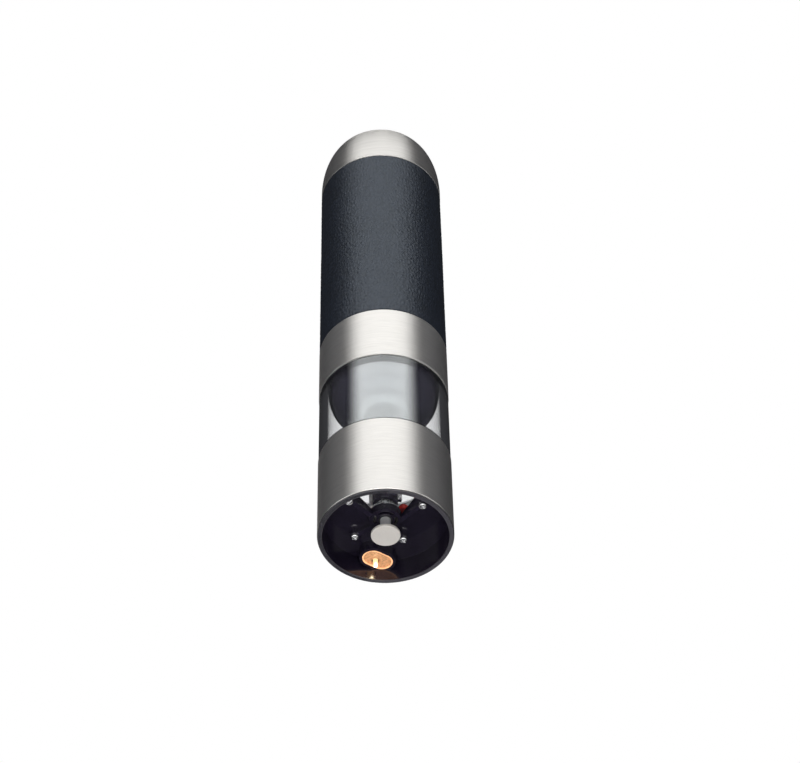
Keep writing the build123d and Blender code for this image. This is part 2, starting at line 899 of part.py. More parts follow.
def battery_contacts():
    """Plated strips that join the cells in a row."""
    long = 2 * cell_centre + contact_width
    strips = [bar(contact_width, long, tray_floor, contact_low_top, side * cell_centre) for side in (-1, 1)]
    strips.append(bar(contact_width, long, contact_high, tray_roof, -cell_centre))
    for side in (-1, 1):
        y = side * cell_centre
        strips.append(bar(contact_width, contact_width, contact_high, tray_roof, cell_centre, y))
    return Compound(strips)


def switch_board():
    """Round circuit board on the tray's roof."""
    return rod(board_radius, tray_top, board_top)


def switch_body():
    """Square switch on the board, with a bore for its plunger."""
    body = bar(switch_side, switch_side, board_top, switch_top)
    bore_low = plunger_top - plunger_height - button_travel - 2 * face_gap
    return body - rod(plunger_radius + face_gap, bore_low, switch_top)


def switch_plunger():
    """Plunger of the switch, under the button stem."""
    return rod(plunger_radius, plunger_top - plunger_height, plunger_top)


def lamp_contacts():
    """Two brass pins in the web that meet the lamp strips."""
    y = strip_plane(window_inner) - strip_thickness / 2
    pins = [
        rod(contact_pin_radius, spigot_top, web_low + web_thickness + contact_pin_rise, x, y)
        for x in (-strip_offset, strip_offset)
    ]
    return Compound(pins)


def lead(*points):
    """Insulated wire along straight runs and round bends."""
    path = FilletPolyline(*points, radius=lead_bend)
    start = Plane(origin=path @ 0, z_dir=path % 0)
    return sweep(start * Circle(lead_radius), path=path)


def core_leads():
    """Leads from the lamp contacts and the motor to the board."""
    y = sqrt(lead_circle**2 - strip_offset**2)
    pin_top = web_low + web_thickness + contact_pin_rise
    landing = board_top
    leads = []
    for x in (-strip_offset, strip_offset):
        leads.append(
            lead(
                (x, y, pin_top),
                (x, y, lead_high),
                (x, lead_landing, lead_high),
                (x, lead_landing, landing),
            )
        )
    height = (motor_cap_top + terminal_top) / 2
    for side in (-1, 1):
        start = side * (terminal_offset + terminal_thickness / 2)
        leads.append(
            lead(
                (start, 0, height),
                (side * lead_circle, 0, height),
                (side * lead_circle, 0, lead_high),
                (side * lead_landing, 0, lead_high),
                (side * lead_landing, 0, landing),
            )
        )
    return Compound(leads)


def handle_tube():
    """Tube under the leather, with a spigot into the ring."""
    return turned(
        (tube_inner, ring_top - handle_spigot),
        (spigot_outer, ring_top - handle_spigot),
        (spigot_outer, ring_top),
        (tube_outer, ring_top),
        (tube_outer, grip_top),
        (tube_inner, grip_top),
    )


def grip_leather():
    """Leather sleeve of the grip."""
    low = ring_top + face_gap
    high = grip_top - face_gap
    sleeve = tube(body_radius, tube_outer + slip_gap, low, high)
    return soften(sleeve, leather_round, (body_radius, low), (body_radius, high))


def cap_outline(shell):
    """Outer line of the cap, or its inner line at a shell thickness."""
    radius = body_radius - shell
    crown = body_radius - cap_shoulder_width
    hole = button_radius + pull_gap
    top = cap_top - shell
    return [
        Line((radius, grip_top), (radius, cap_shoulder_low)),
        EllipticalCenterArc(
            (crown, cap_shoulder_low),
            cap_shoulder_width - shell,
            cap_shoulder_height - shell,
            start_angle=0,
            arc_size=90,
        ),
        Line((crown, top), (hole, top)),
    ]


def dome_cap():
    """Brushed steel dome with a round hole for the button."""
    hole = button_radius + pull_gap
    outline = cap_outline(0) + cap_outline(cap_shell)
    outline.append(Line((body_radius, grip_top), (body_radius - cap_shell, grip_top)))
    outline.append(Line((hole, cap_top), (hole, cap_top - cap_shell)))
    dome = revolve(Plane.XZ * make_face(outline), Axis.Z)
    return soften(dome, edge_round, (body_radius, grip_top), (hole, cap_top))


def cap_insert():
    """Plastic insert in the cap that guides the button stem."""
    hole = button_stem_radius + running_gap
    return turned(
        (hole, grip_top),
        (body_radius - cap_shell - face_gap, grip_top),
        (body_radius - cap_shell - face_gap, insert_top),
        (guide_radius, insert_top),
        (guide_radius, guide_top),
        (hole, guide_top),
    )


def push_button():
    """Crowned push button with its long stem."""
    disc = rod(button_radius, button_low, button_top)
    disc &= Pos(0, 0, button_top - button_crown_radius) * Sphere(button_crown_radius)
    drop = button_crown_radius - sqrt(button_crown_radius**2 - button_radius**2)
    disc = soften(disc, 2 * edge_round, (button_radius, button_top - drop))
    return disc + rod(button_stem_radius, stem_low, button_low)


def button_clip():
    """Retaining ring on the button stem, under the insert."""
    inner = button_stem_radius + slip_gap
    return tube(button_stem_radius + clip_wall, inner, clip_top - clip_thickness, clip_top)


def button_spring():
    """Return spring of the button, as its outer shape."""
    inner = button_stem_radius + pull_gap
    return tube(inner + button_spring_wall, inner, guide_top, button_low)


nodes = {
    "base_sleeve": base_sleeve(),
    "base_cup": base_cup(),
    "chamber": chamber(),
    "chamber_floor": chamber_floor(),
    "chamber_seal": chamber_seal(),
    "grinder_bracket": grinder_bracket(),
    "bracket_screws": bracket_screws(),
    "burr_ring": burr_ring(),
    "spindle_bush": spindle_bush(),
    "lamp_reflector": lamp_reflector(),
    "lamp_bulb": lamp_bulb(),
    "lamp_socket": lamp_socket(),
    "lamp_strips": lamp_strips(),
    "drive_shaft": drive_shaft(),
    "agitator": agitator(),
    "burr_spring": burr_spring(),
    "burr_cone": burr_cone(),
    "adjuster_knob": adjuster_knob(),
    "ring_band": ring_band(),
    "core_housing": core_housing(),
    "shaft_bush": shaft_bush(),
    "gear_case": gear_case(),
    "output_carrier": output_carrier(),
    "first_carrier": first_carrier(),
    "motor_pinion": motor_pinion(),
    "motor_shaft": motor_shaft(),
    "motor_plate": motor_plate(),
    "motor_can": motor_can(),
    "motor_end_cap": motor_end_cap(),
    "motor_terminals": motor_terminals(),
    "core_screws": core_screws(),
    "battery_tray": battery_tray(),
    "battery_cells": battery_cells(),
    "battery_springs": battery_springs(),
    "battery_contacts": battery_contacts(),
    "switch_board": switch_board(),
    "switch_body": switch_body(),
    "switch_plunger": switch_plunger(),
    "lamp_contacts": lamp_contacts(),
    "core_leads": core_leads(),
    "handle_tube": handle_tube(),
    "grip_leather": grip_leather(),
    "dome_cap": dome_cap(),
    "cap_insert": cap_insert(),
    "push_button": push_button(),
    "button_clip": button_clip(),
    "button_spring": button_spring(),
}
for number, place in enumerate(planet_places(), start=1):
    nodes[f"first_planet_{number}"] = planet(place, planets1_low, planets1_top)
    nodes[f"second_planet_{number}"] = planet(place, planets2_low, planets2_top)

os.makedirs("parts", exist_ok=True)
for name, shape in nodes.items():
    export_step(shape, f"parts/{name}.step")
print(len(nodes), "nodes; height", round(button_top, 2), "mm")
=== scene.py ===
import math

import bmesh
import bpy
import numpy as np
from bpy.props import FloatProperty, FloatVectorProperty, IntProperty, PointerProperty
from mathutils import Matrix, Vector, noise


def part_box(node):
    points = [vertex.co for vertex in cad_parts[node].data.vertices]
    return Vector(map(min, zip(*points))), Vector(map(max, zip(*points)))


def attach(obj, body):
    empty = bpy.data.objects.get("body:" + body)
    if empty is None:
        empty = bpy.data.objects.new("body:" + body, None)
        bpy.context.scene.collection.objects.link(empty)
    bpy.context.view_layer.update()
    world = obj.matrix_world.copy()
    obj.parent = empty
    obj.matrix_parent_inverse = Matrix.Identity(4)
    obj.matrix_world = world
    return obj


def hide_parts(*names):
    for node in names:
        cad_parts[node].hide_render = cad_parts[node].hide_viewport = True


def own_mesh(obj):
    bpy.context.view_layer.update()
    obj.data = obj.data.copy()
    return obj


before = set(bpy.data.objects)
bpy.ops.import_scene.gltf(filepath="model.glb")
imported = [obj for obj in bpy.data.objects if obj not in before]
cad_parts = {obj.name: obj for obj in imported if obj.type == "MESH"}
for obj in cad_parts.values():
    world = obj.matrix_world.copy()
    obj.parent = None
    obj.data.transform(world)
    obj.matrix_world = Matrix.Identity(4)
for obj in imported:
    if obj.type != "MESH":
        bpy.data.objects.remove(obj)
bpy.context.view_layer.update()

bl_info = {
    "name": "Pepper mill looks",
    "version": (1, 0, 0),
    "blender": (4, 5, 0),
    "location": "3D View > Sidebar > Pepper mill",
    "description": "Finishes, leather grip, springs, peppercorns and stage of a battery mill",
    "category": "Object",
}

MM = 0.001
FULL_TURN = 2.0 * math.pi

# The camera's image width in pixels and sensor width in millimetres
IMAGE_WIDTH = 800
SENSOR = 36.0

# Groups of CAD nodes that share a finish
PLANETS = [f"{stage}_planet_{k}" for stage in ("first", "second") for k in (1, 2, 3)]
CARRIERS = ["output_carrier", "first_carrier", "motor_pinion"]
CLEAR_NODES = ("chamber", "chamber_floor")

# Heights where the knob's and the cup's finishes change, and of the floor that the corns lie on
KNOB_DISC_TOP = 2.2 * MM
CUP_FLOOR_TOP = 12.5 * MM
CHAMBER_FLOOR = 14.4 * MM

# Place of each cell's axis, to either side of the mill's own
CELL_PLACE = 8.2 * MM

# Waves a metre of the soft patches in plastic and in plate
MOTTLE = 120.0
POLISH = 260.0

# Waves a metre of the brush marks: across, across and up
FINE_LINES = (160.0, 160.0, 9000.0)
BROAD_LINES = (90.0, 90.0, 3600.0)
STREAKS = (45.0, 45.0, 1500.0)


# Sizes and colours that a user would change


def colour(label, text, value):
    """A colour."""
    limits = {"min": 0.0, "max": 1.0}
    return FloatVectorProperty(name=label, description=text, default=value, subtype="COLOR", **limits)


def share(label, text, value):
    """A number from 0 to 1."""
    limits = {"min": 0.0, "max": 1.0}
    return FloatProperty(name=label, description=text, default=value, subtype="FACTOR", **limits)


def length(label, text, value):
    """A length in metres."""
    shown = {"unit": "LENGTH", "precision": 5}
    return FloatProperty(name=label, description=text, default=value, min=0.0, **shown)


def angle(label, text, degrees):
    """An angle, given here in degrees."""
    value = math.radians(degrees)
    return FloatProperty(name=label, description=text, default=value, unit="ROTATION")


def amount(label, text, value, least=0.0):
    """A plain number."""
    return FloatProperty(name=label, description=text, default=value, min=least)


def count(label, text, value, least=0):
    """A whole number."""
    return IntProperty(name=label, description=text, default=value, min=least)


class MillMetals(bpy.types.PropertyGroup):
    """Colours and shine of the metal parts."""

    steel: colour("Steel", "Colour of the brushed steel sleeves, ring and cap", (0.66, 0.65, 0.63))
    steel_shine: share("Steel roughness", "Spread of the shine across the brushing", 0.45)
    brushing: length("Brushing depth", "Depth of the brush lines round the steel", 0.000012)
    knob: colour("Knob", "Colour of the adjuster's silver disc", (0.88, 0.84, 0.79))
    knob_metal: share("Knob metal", "How metallic the satin disc shines", 0.35)
    bright: colour("Bright plate", "Colour of the screws and shafts", (0.82, 0.82, 0.83))
    zinc: colour("Zinc plate", "Colour of the motor can and plate", (0.56, 0.57, 0.58))
    brass: colour("Brass", "Colour of the contacts and terminals", (0.78, 0.58, 0.25))
    bronze: colour("Bronze", "Colour of the bushes", (0.55, 0.36, 0.19))


class MillPlastics(bpy.types.PropertyGroup):
    """Colours of the moulded parts."""

    gloss: colour("Gloss black", "Colour of the base cup and core housing", (0.0125, 0.0098, 0.020))
    rim: colour("Rim", "Colour of the worn standing rim", (0.055, 0.052, 0.064))
    lining: colour("Lining", "Colour of the pale lining round the clear chamber", (0.72, 0.73, 0.75))
    satin: colour("Satin black", "Colour of the handle tube and cell tray", (0.022, 0.022, 0.024))
    clear: colour("Clear", "Tint of the pepper window", (0.972, 0.984, 0.990))
    gear_white: colour("White gears", "Colour of the planets", (0.78, 0.77, 0.73))
    gear_brown: colour("Brown gears", "Colour of the carriers", (0.30, 0.19, 0.11))
    ceramic: colour("Burr", "Colour of the ceramic burrs", (0.10, 0.095, 0.09))
    rubber: colour("Rubber", "Colour of the seal", (0.02, 0.02, 0.021))
    board: colour("Board", "Colour of the switch board", (0.02, 0.13, 0.05))
    lead: colour("Leads", "Colour of the wire insulation", (0.42, 0.02, 0.02))
    jacket: colour("Cell jacket", "Colour of the cells' plain jackets", (0.05, 0.055, 0.065))
    band: colour("Cell band", "Colour of the band at the cells' plus ends", (0.62, 0.36, 0.14))


class MillLamp(bpy.types.PropertyGroup):
    """The small lamp beside the grinder."""

    glow: colour("Glow", "Colour of the lit bulb", (1.0, 0.80, 0.52))
    glass: colour("Glass", "Colour of the bulb's glass away from its bright heart", (1.0, 0.62, 0.28))
    pocket: colour("Pocket", "Colour of the lit reflector", (0.94, 0.50, 0.25))
    bulb_power: amount("Bulb power", "Brightness of the bulb", 50.0)
    # The reflector's glow is painted light, standing for the bulb's light on it
    painted_pocket_glow: amount("Pocket power", "Brightness of the reflector's own glow", 0.22)


class MillGrip(bpy.types.PropertyGroup):
    """The leather sleeve round the handle."""

    hide: colour("Hide", "Colour on top of the leather's pebbles", (0.0075, 0.0105, 0.0185))
    crease: colour("Crease", "Colour in the leather's creases", (0.0040, 0.0055, 0.0095))
    pebble: length("Pebble", "Width of one pebble of the grain", 0.0013)
    stretch: amount("Stretch", "Pebble length over its width", 1.8, 0.5)
    relief: length("Relief", "Height of the pebbles above the creases", 0.00011)
    seam: length("Seam", "Half width of the butt seam at the back", 0.00042)
    seam_depth: length("Seam depth", "Depth of the butt seam", 0.00038)
    roll: length("Edge roll", "Radius of the turned edges", 0.0005)
    steps_round: count("Steps round", "Points round the sleeve", 560, 60)
    steps_up: count("Steps up", "Rows of points up the sleeve", 320, 40)
    seed: count("Seed", "Seed of the grain", 7)


class MillSprings(bpy.types.PropertyGroup):
    """Wires of the coil springs."""

    cell_wire: length("Cell spring wire", "Wire diameter of the cells' springs", 0.0007)
    button_wire: length("Button spring wire", "Wire diameter of the button's spring", 0.0009)
    burr_wire: length("Burr spring wire", "Wire diameter of the burr's spring", 0.0006)


class MillPepper(bpy.types.PropertyGroup):
    """Loose peppercorns on the chamber's floor."""

    skin: colour("Skin", "Colour of the dried skin", (0.64, 0.040, 0.030))
    shade: colour("Shade", "Colour in the wrinkles", (0.34, 0.014, 0.014))
    radius: length("Radius", "Mean radius of a corn", 0.0024)
    wrinkle: length("Wrinkle", "Depth of the wrinkles", 0.00022)
    seed: count("Seed", "Seed of sizes and turns", 3)


class MillStage(bpy.types.PropertyGroup):
    """Camera, lights and floor."""

    focal: amount("Focal length", "Focal length in pixels of the image", 2367.81)
    distance: length("Distance", "From the middle of the base to the camera", 0.89617)
    elevation: angle("Elevation", "Height of the camera below the base", 42.87)
    azimuth: angle("Azimuth", "Turn of the camera round the mill", -10.0)
    yaw: angle("Yaw", "Aim to the side", -0.40)
    pitch: angle("Pitch", "Aim upward", 3.77)
    roll: angle("Roll", "Turn about the line of sight", 0.84)
    front: amount("Front light", "Brightness of the high front panel", 5.6)
    mid: amount("Middle light", "Brightness of the panel under the front one", 0.8)
    ceiling: amount("Ceiling", "Brightness of the ceiling panel", 0.5)
    low: amount("Low lights", "Brightness of the low panels in front and behind", 1.1)
    base_light: amount("Base light", "Brightness of the panel that lights the base from below", 4.2)
    edge_light: amount("Edge light", "Brightness of the panel that lights the steel's lower edge", 1.6)
    room: amount("Room", "Brightness of the room round the mill", 1.0)
    floor: colour("Floor", "Colour of the floor", (0.80, 0.80, 0.79))
    floor_light: amount("Floor light", "Brightness that the floor has of its own", 0.5)


# Shader helpers


def shader_of(name):
    """A new material with its tree and its main shader."""
    material = bpy.data.materials.new(name)
    material.use_nodes = True
    return material, material.node_tree, material.node_tree.nodes["Principled BSDF"]


def bare_tree(owner):
    """The emptied node tree of a material or world."""
    owner.use_nodes = True
    owner.node_tree.nodes.clear()
    return owner.node_tree


def add(tree, kind, sockets=(), **settings):
    """A node with settings, and values or links for its named or numbered inputs."""
    made = tree.nodes.new(kind)
    for key, value in settings.items():
        setattr(made, key, value)
    for key, value in dict(sockets).items():
        if isinstance(value, bpy.types.NodeSocket):
            tree.links.new(value, made.inputs[key])
        else:
            made.inputs[key].default_value = value
    return made


def spot(tree):
    """The point on the object, in metres."""
    return add(tree, "ShaderNodeTexCoord").outputs["Object"]


def axes_of(tree, point):
    """A point's X, Y and Z."""
    return add(tree, "ShaderNodeSeparateXYZ", {0: point}).outputs


def math_node(tree, operation, first, second=0.0, third=0.0):
    """One step of arithmetic."""
    return add(tree, "ShaderNodeMath", {0: first, 1: second, 2: third}, operation=operation).outputs[0]


def stretched(tree, vector, factors):
    """A vector times factors along its axes."""
    return add(tree, "ShaderNodeVectorMath", {0: vector, 1: factors}, operation="MULTIPLY").outputs[0]


def from_axis(tree, point):
    """A point's distance from the upright axis."""
    flat = stretched(tree, point, (1.0, 1.0, 0.0))
    return add(tree, "ShaderNodeVectorMath", {0: flat}, operation="LENGTH").outputs["Value"]


def blended(tree, factor, first, second):
    """A value between two, by a factor."""
    return add(tree, "ShaderNodeMix", {0: factor, 2: first, 3: second}).outputs[0]


def tinted(tree, factor, first, second):
    """A colour between two, by a factor."""
    return add(tree, "ShaderNodeMix", {0: factor, 6: first, 7: second}, data_type="RGBA").outputs[2]


def cloud(tree, vector, scale, detail=4.0, rough=0.55):
    """Soft noise, with its scale in waves a metre."""
    sockets = {"Vector": vector, "Scale": scale, "Detail": detail, "Roughness": rough}
    return add(tree, "ShaderNodeTexNoise", sockets).outputs["Fac"]


def between(tree, factor, low, high, start=0.25, end=0.75):
    """A factor spread from low to high."""
    sockets = {0: factor, 1: start, 2: end, 3: low, 4: high}
    return add(tree, "ShaderNodeMapRange", sockets, clamp=True).outputs[0]


def ramp(tree, factor, stops):
    """Colours along a factor."""
    made = add(tree, "ShaderNodeValToRGB", {"Fac": factor})
    elements = made.color_ramp.elements
    while len(elements) < len(stops):
        elements.new(0.5)
    for element, (position, value) in zip(elements, stops):
        element.position = position
        element.color = (*value, 1.0)
    return made.outputs["Color"]


def relief(tree, height, depth, normal=None):
    """Bump of that depth in metres."""
    sockets = {"Height": height, "Distance": depth, "Strength": 1.0}
    if normal is not None:
        sockets["Normal"] = normal
    return add(tree, "ShaderNodeBump", sockets).outputs["Normal"]


def soft_edge(tree, radius):
    """Shading normal with rounded edges."""
    return add(tree, "ShaderNodeBevel", {"Radius": radius}, samples=4).outputs["Normal"]


def tone(value, factor):
    """A colour made lighter or darker."""
    return tuple(min(1.0, channel * factor) for channel in value)


def feed(tree, shader, **links):
    """Links outputs to the shader's inputs, by name with _ for a space."""
    for key, output in links.items():
        tree.links.new(output, shader.inputs[key.replace("_", " ")])


def settle(shader, **values):
    """Constant values on the shader's own sockets."""
    for key, value in values.items():
        shader.inputs[key.replace("_", " ")].default_value = value


def dress(material, *nodes):
    """Gives CAD nodes one material."""
    for name in nodes:
        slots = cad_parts[name].data.materials
        slots.clear()
        slots.append(material)


def moulded(name, base, rough, grain=900.0, depth=0.00002, edge=0.0002, coat=0.0):
    """Moulded plastic: faint mottling, uneven gloss and a fine skin."""
    material, tree, shader = shader_of(name)
    point = spot(tree)
    mottle = cloud(tree, point, MOTTLE, 3.0)
    skin = cloud(tree, point, grain, 5.0)
    stops = [(0.3, tone(base, 0.85)), (0.7, tone(base, 1.15))]
    feed(tree, shader, Base_Color=ramp(tree, mottle, stops))
    feed(tree, shader, Roughness=between(tree, skin, rough * 0.8, rough * 1.25))
    feed(tree, shader, Normal=relief(tree, skin, depth, soft_edge(tree, edge)))
    settle(shader, IOR=1.5, Coat_Weight=coat, Coat_Roughness=0.06)
    return material


def plated(name, base, rough, grain=1500.0, depth=0.000004, edge=0.00012):
    """Plated or plain metal: cloudy polish, fine scuffs and softened edges."""
    material, tree, shader = shader_of(name)
    point = spot(tree)
    polish = cloud(tree, point, POLISH, 3.0)
    scuff = cloud(tree, stretched(tree, point, (1.0, 0.25, 1.0)), grain, 6.0, 0.65)
    feed(tree, shader, Base_Color=ramp(tree, polish, [(0.3, tone(base, 0.88)), (0.7, base)]))
    feed(tree, shader, Roughness=between(tree, scuff, rough * 0.7, rough * 1.4))
    feed(tree, shader, Normal=relief(tree, scuff, depth, soft_edge(tree, edge)))
    settle(shader, Metallic=1.0)
    return material


def brushed(name, base, rough, depth, streaks=0.12, polished_to=None):
    """Metal brushed round the axis: fine lines, a share of streaks and, if asked, a polished foot."""
    material, tree, shader = shader_of(name)
    point = spot(tree)
    radius = from_axis(tree, point)
    parts = axes_of(tree, point)
    along = math_node(tree, "SUBTRACT", parts["Z"], radius)
    sockets = {"X": parts["X"], "Y": parts["Y"], "Z": along}
    line_place = add(tree, "ShaderNodeCombineXYZ", sockets).outputs[0]
    fine = cloud(tree, stretched(tree, line_place, FINE_LINES), 1.0, 3.0)
    broad = cloud(tree, stretched(tree, line_place, BROAD_LINES), 1.0, 2.0)
    lines = math_node(tree, "MULTIPLY_ADD", broad, 0.4, math_node(tree, "MULTIPLY", fine, 0.6))
    streak = cloud(tree, stretched(tree, line_place, STREAKS), 1.0, 3.0)
    plain = math_node(tree, "MULTIPLY", lines, 1.0 - streaks)
    mixed = math_node(tree, "MULTIPLY_ADD", streak, streaks, plain)
    stops = [(0.36, tone(base, 0.86)), (0.64, tone(base, 1.06))]
    feed(tree, shader, Base_Color=ramp(tree, mixed, stops))
    shine = between(tree, lines, rough * 0.86, rough * 1.14)
    normal = soft_edge(tree, 0.25 * MM)
    if polished_to:
        fade, chamfer_height, chamfer_depth = 0.1 * MM, 0.8 * MM, 0.9 * MM
        foot = between(tree, parts["Z"], 1.0, 0.0, polished_to - fade, polished_to)
        shine = blended(tree, foot, shine, 0.25)
        chamfer = between(tree, parts["Z"], 0.0, 1.0, polished_to - chamfer_height, polished_to)
        normal = relief(tree, chamfer, chamfer_depth, normal)
    feed(tree, shader, Roughness=shine)
    feed(tree, shader, Normal=relief(tree, lines, depth, normal))
    tangent = add(tree, "ShaderNodeTangent", direction_type="RADIAL", axis="Z")
    feed(tree, shader, Tangent=tangent.outputs[0])
    settle(shader, Metallic=1.0, Anisotropic=0.85, Anisotropic_Rotation=0.25)
    return material


# Mesh helpers


def placed(name, points, faces, material):
    """A mesh in the frame's own metres, linked to the scene."""
    mesh = bpy.data.meshes.new(name)
    mesh.from_pydata([tuple(p) for p in points], [], [tuple(f) for f in faces])
    mesh.update()
    mesh.materials.append(material)
    made = bpy.data.objects.new(name, mesh)
    bpy.context.scene.collection.objects.link(made)
    return made


def piece(name, points, faces, material, body):
    """A smooth mesh that rides on a body."""
    made = placed(name, points, faces, material)
    made.data.polygons.foreach_set("use_smooth", [True] * len(made.data.polygons))
    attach(made, body)
    return made


def grid_faces(rows, columns, wrap_rows=False):
    """Quads of a grid that closes round its columns, and round its rows where asked."""
    faces = []
    for i in range(rows if wrap_rows else rows - 1):
        low, high = i * columns, ((i + 1) % rows) * columns
        for j in range(columns):
            k = (j + 1) % columns
            faces.append((low + j, low + k, high + k, high + j))
    return faces


def coil_mesh(points, wire, sides=10):
    """Points and faces of a round wire along a path, with closed ends."""
    path = np.array(points, float)
    ahead = np.gradient(path, axis=0)
    ahead /= np.linalg.norm(ahead, axis=1)[:, None]
    side = np.cross(ahead, (0.0, 0.0, 1.0))
    side /= np.linalg.norm(side, axis=1)[:, None]
    up = np.cross(side, ahead)
    turn = np.linspace(0.0, FULL_TURN, sides, endpoint=False)
    rings = [path + wire / 2 * (math.cos(t) * side + math.sin(t) * up) for t in turn]
    verts = np.stack(rings, axis=1).reshape(-1, 3)
    faces = grid_faces(len(path), sides)
    last = (len(path) - 1) * sides
    faces.append(tuple(range(sides - 1, -1, -1)))
    faces.append(tuple(last + k for k in range(sides)))
    return verts, faces


def spring_path(centre, low, high, radius_low, radius_high, turns, wire, steps=40):
    """A helix between two heights, with a closed turn flat at each end."""
    share_up = np.linspace(0.0, 1.0, int(turns * steps) + 1)
    dead = 1.0 / turns
    rise = np.clip((share_up - dead) / (1.0 - 2.0 * dead), 0.0, 1.0)
    creep = wire * 0.5
    height = low + wire / 2 + creep * np.minimum(share_up / dead, 1.0)
    climb = high - low - wire - 2 * creep
    height = height + climb * rise + creep * np.clip((share_up - 1.0 + dead) / dead, 0.0, 1.0)
    radius = radius_low + (radius_high - radius_low) * share_up
    swing = FULL_TURN * turns * share_up
    x = centre[0] + radius * np.cos(swing)
    y = centre[1] + radius * np.sin(swing)
    return np.stack([x, y, height], axis=1)


# Operators


class MILL_OT_metals(bpy.types.Operator):
    """Brushed steel, silver knob, plated screws and shafts, brass and bronze."""

    bl_idname = "mill.metals"
    bl_label = "Metal finishes"

    def knob(self, look):
        """Satin silver disc, finely turned, on a bright stem."""
        material, tree, shader = shader_of("knob_silver")
        point = spot(tree)
        sockets = {"W": from_axis(tree, point), "Scale": 5200.0, "Detail": 2.0}
        rings = add(tree, "ShaderNodeTexNoise", sockets, noise_dimensions="1D").outputs["Fac"]
        speckle = cloud(tree, point, 2400.0, 4.0)
        stem = math_node(tree, "GREATER_THAN", axes_of(tree, point)["Z"], KNOB_DISC_TOP)
        satin = ramp(tree, speckle, [(0.3, tone(look.knob, 0.93)), (0.7, tuple(look.knob))])
        tint = tinted(tree, stem, satin, (*look.bright, 1.0))
        shine = blended(tree, stem, between(tree, rings, 0.5, 0.62), 0.24)
        metal = between(tree, stem, look.knob_metal, 0.25, 0.0, 1.0)
        feed(tree, shader, Base_Color=tint, Roughness=shine, Metallic=metal)
        feed(tree, shader, Normal=relief(tree, rings, 0.000006, soft_edge(tree, 0.0001)))
        return material

    def execute(self, context):
        look = context.scene.mill_metals
        steel, shine, depth = tuple(look.steel), look.steel_shine, look.brushing
        dress(brushed("brushed_steel", steel, shine, depth), "ring_band")
        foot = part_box("base_sleeve")[0].z + 0.6 * MM
        dress(brushed("base_steel", steel, shine, depth, polished_to=foot), "base_sleeve")
        # Painted shade: the cap's steel is a darker copy of the sleeves' steel, at 0.8 of its colour
        dress(brushed("shaded_cap_steel", tone(steel, 0.80), shine * 0.95, depth, 0.5), "dome_cap")
        dress(brushed("button_steel", tone(steel, 1.06), 0.28, depth), "push_button")
        dress(self.knob(look), "adjuster_knob")
        dress(plated("bright_screws", tuple(look.bright), 0.10), "bracket_screws", "core_screws")
        shafts = plated("bright_shafts", tuple(look.bright), 0.16)
        dress(shafts, "drive_shaft", "motor_shaft", "button_clip")
        dress(plated("zinc_plate", tuple(look.zinc), 0.34), "motor_can", "motor_plate")
        dress(plated("brass_parts", tuple(look.brass), 0.24), "motor_terminals", "battery_contacts")
        dress(plated("brass_contacts", tone(look.brass, 1.1), 0.20), "lamp_contacts")
        dress(plated("tinned_strips", tuple(look.bright), 0.42), "lamp_strips")
        dress(plated("sintered_bronze", tuple(look.bronze), 0.46, 2600.0, 0.00001), "shaft_bush")
        dress(plated("sintered_steel", tone(look.zinc, 0.16), 0.42, 2600.0, 0.00001), "spindle_bush")
        return {"FINISHED"}


class MILL_OT_plastics(bpy.types.Operator):
    """Gloss and satin black mouldings, gears, burrs, seal, board and leads."""

    bl_idname = "mill.plastics"
    bl_label = "Moulded finishes"

    def cup(self, context):
        """Gloss black recess, a satin standing rim and a pale lining round the clear chamber."""
        look = context.scene.mill_plastics
        material, tree, shader = shader_of("cup_black")
        point = spot(tree)
        mottle = cloud(tree, point, MOTTLE, 3.0)
        skin = cloud(tree, point, 420.0, 5.0)
        height = axes_of(tree, point)["Z"]
        rim = between(tree, height, 1.0, 0.0, 0.1 * MM, 0.7 * MM)
        lining = math_node(tree, "GREATER_THAN", height, CUP_FLOOR_TOP)
        black = ramp(tree, mottle, [(0.3, tone(look.gloss, 0.85)), (0.7, tone(look.gloss, 1.15))])
        worn = tinted(tree, rim, black, (*look.rim, 1.0))
        lined = tinted(tree, lining, worn, (*look.lining, 1.0))
        shine = blended(tree, rim, between(tree, skin, 0.10, 0.18), 0.5)
        shine = blended(tree, lining, shine, 0.42)
        metal = math_node(tree, "MULTIPLY", lining, 0.25)
        feed(tree, shader, Base_Color=lined, Metallic=metal, Roughness=shine)
        feed(tree, shader, Normal=relief(tree, skin, 0.000008, soft_edge(tree, 0.0002)))
        settle(shader, IOR=1.5)
        return material

    def execute(self, context):
        look = context.scene.mill_plastics
        bowl = moulded("bowl_black", tone(look.gloss, 1.05), 0.22, 420.0, 0.000003, 0.00025, 1.0)
        settle(bowl.node_tree.nodes["Principled BSDF"], Specular_Tint=(0.74, 0.94, 1.0, 1.0))
        dress(bowl, "core_housing")
        dress(self.cup(context), "base_cup")
        bracket = moulded("bracket_black", tone(look.gloss, 1.3), 0.13, 700.0, 0.000006)
        dress(bracket, "grinder_bracket", "agitator")
        satin = moulded("satin_black", tuple(look.satin), 0.45, 1400.0, 0.00003)
        dress(satin, "handle_tube", "battery_tray", "cap_insert", "motor_end_cap", "lamp_socket")
        dress(moulded("switch_black", tone(look.satin, 1.2), 0.38), "switch_body", "switch_plunger")
        dress(moulded("gear_white", tuple(look.gear_white), 0.40, 1100.0, 0.000012), *PLANETS)
        dress(moulded("gear_brown", tuple(look.gear_brown), 0.42, 1100.0, 0.000012), *CARRIERS)
        dress(moulded("gear_case_black", tone(look.satin, 1.5), 0.40, 1200.0), "gear_case")
        ceramic = moulded("burr_ceramic", tuple(look.ceramic), 0.52, 3200.0, 0.00003, 0.0001)
        dress(ceramic, "burr_ring", "burr_cone")
        dress(moulded("seal_rubber", tuple(look.rubber), 0.62, 1800.0, 0.00003), "chamber_seal")
        dress(moulded("lead_red", tuple(look.lead), 0.40, 1200.0), "core_leads")
        dress(moulded("board_green", tuple(look.board), 0.34, 700.0), "switch_board")
        return {"FINISHED"}


